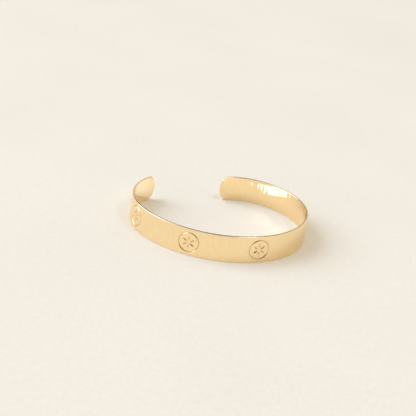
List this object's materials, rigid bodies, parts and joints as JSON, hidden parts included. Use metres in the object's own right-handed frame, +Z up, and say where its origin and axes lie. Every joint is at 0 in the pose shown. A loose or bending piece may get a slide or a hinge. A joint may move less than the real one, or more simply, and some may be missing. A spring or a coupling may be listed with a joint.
{
  "type": "cuff bracelet",
  "caption": "Open cuff bracelet: a slim flat metal band with round ends and a row of stamped ring medallions, bent to an oval wrist.",
  "frame": {"origin": "middle of the bounding box in plan, on the plane of the lower rim", "axes": "+X along the oval's long side, +Y out through the open gap between the tips, +Z up across the band's width"},
  "size_m": [0.062, 0.0472, 0.0095],
  "materials": {
    "gold_plate": "satin gold plate with a fine brushed grain across the band"
  },
  "bodies": {
    "root": {"cuff_band": "gold_plate"}
  },
  "joints": []
}
